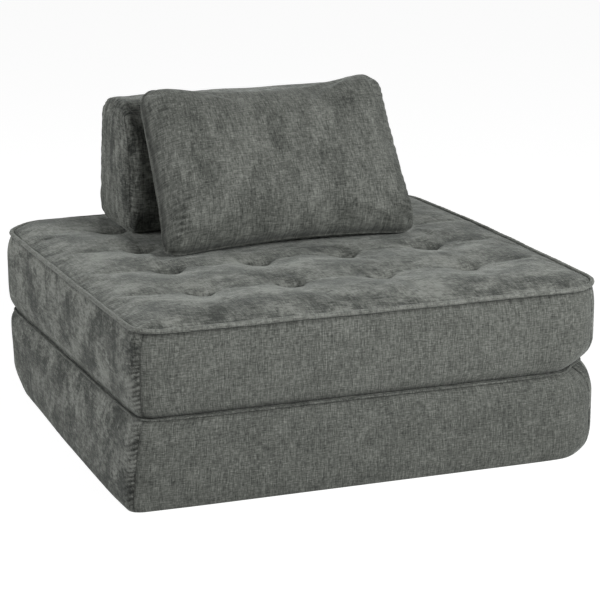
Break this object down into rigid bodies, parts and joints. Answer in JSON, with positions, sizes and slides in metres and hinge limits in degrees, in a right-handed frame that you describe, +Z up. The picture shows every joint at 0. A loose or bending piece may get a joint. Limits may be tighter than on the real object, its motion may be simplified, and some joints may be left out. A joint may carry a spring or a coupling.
{
  "type": "floor chair",
  "caption": "Low fold-out floor chair: square stacked foam slabs hinged at the back, with a tufted piped seat, a loose block backrest and a loose leaning pillow in chenille.",
  "frame": {"origin": "on the floor under the centre of the seat square", "axes": "+Z up, +X along the front edge to the picture's right, the seat's front faces -Y"},
  "size_m": [0.9592, 0.9545, 0.6536],
  "materials": {
    "chenille": "matte",
    "lining": "matte",
    "foam": "matte",
    "fibre": "matte",
    "twine": "matte",
    "felt": "matte",
    "zip_tape": "matte",
    "zip_coil": "satin",
    "zip_metal": "satin"
  },
  "bodies": {
    "lower_section": {"hinge_fold_cord": "chenille", "hinge_strip_lower": "chenille", "lower_back_boxing": "chenille", "lower_base_panel": "lining", "lower_foam_core": "foam", "lower_front_boxing": "chenille", "lower_left_boxing": "chenille", "lower_right_boxing": "chenille", "lower_top_panel": "chenille", "lower_top_welt": "chenille", "lower_zip_coil": "zip_coil", "lower_zip_tape": "zip_tape"},
    "upper_section": {"hinge_strip_upper": "chenille", "tuft_knots": "twine", "tuft_twines": "twine", "tuft_washers": "felt", "upper_back_boxing": "chenille", "upper_foam_core": "foam", "upper_front_boxing": "chenille", "upper_left_boxing": "chenille", "upper_right_boxing": "chenille", "upper_top_panel": "chenille", "upper_top_piping": "chenille", "upper_under_panel": "chenille", "upper_zip_coil": "zip_coil", "upper_zip_tape": "zip_tape"},
    "backrest": {"backrest_base_panel": "chenille", "backrest_foam_core": "foam", "backrest_left_end": "chenille", "backrest_right_end": "chenille", "backrest_wrap_panel": "chenille", "backrest_zip_coil": "zip_coil", "backrest_zip_tape": "zip_tape"},
    "pillow": {"pillow_back_panel": "chenille", "pillow_fill": "fibre", "pillow_front_panel": "chenille"},
    "backrest_zip_pull": {"backrest_zip_pull": "zip_metal"},
    "backrest_zip_slider": {"backrest_zip_slider": "zip_metal"},
    "lower_zip_pull": {"lower_zip_pull": "zip_metal"},
    "lower_zip_slider": {"lower_zip_slider": "zip_metal"},
    "upper_zip_pull": {"upper_zip_pull": "zip_metal"},
    "upper_zip_slider": {"upper_zip_slider": "zip_metal"}
  },
  "joints": [
    {"name": "seat_fold", "type": "hinge", "parent": "lower_section", "child": "upper_section", "pos_m": [0, 0.4775, 0.173], "axis": [-1, 0, 0], "range_deg": [0, 180]},
    {"name": "backrest_slide_off", "type": "slide", "parent": "upper_section", "child": "backrest", "axis": [0, 1, 0], "range_m": [0, 0.25]},
    {"name": "pillow_lift_off", "type": "slide", "parent": "upper_section", "child": "pillow", "axis": [0, 0, 1], "range_m": [0, 0.3]},
    {"name": "lower_zip_run", "type": "slide", "parent": "lower_section", "child": "lower_zip_slider", "axis": [0, 1, 0], "range_m": [0, 0.656]},
    {"name": "lower_zip_pull_swing", "type": "hinge", "parent": "lower_zip_slider", "child": "lower_zip_pull", "pos_m": [0.482, -0.328, 0.08425], "axis": [0, 0, -1], "range_deg": [0, 170]},
    {"name": "upper_zip_run", "type": "slide", "parent": "upper_section", "child": "upper_zip_slider", "axis": [0, 1, 0], "range_m": [0, 0.656]},
    {"name": "upper_zip_pull_swing", "type": "hinge", "parent": "upper_zip_slider", "child": "upper_zip_pull", "pos_m": [0.482, -0.328, 0.244], "axis": [0, 0, -1], "range_deg": [0, 170]},
    {"name": "backrest_zip_run", "type": "slide", "parent": "backrest", "child": "backrest_zip_slider", "axis": [-1, 0, 0], "range_m": [0, 0.356]},
    {"name": "backrest_zip_pull_swing", "type": "hinge", "parent": "backrest_zip_slider", "child": "backrest_zip_pull", "pos_m": [0.178, 0.44236, 0.41704], "axis": [0, 0.0774, -0.997], "range_deg": [0, 170]}
  ]
}
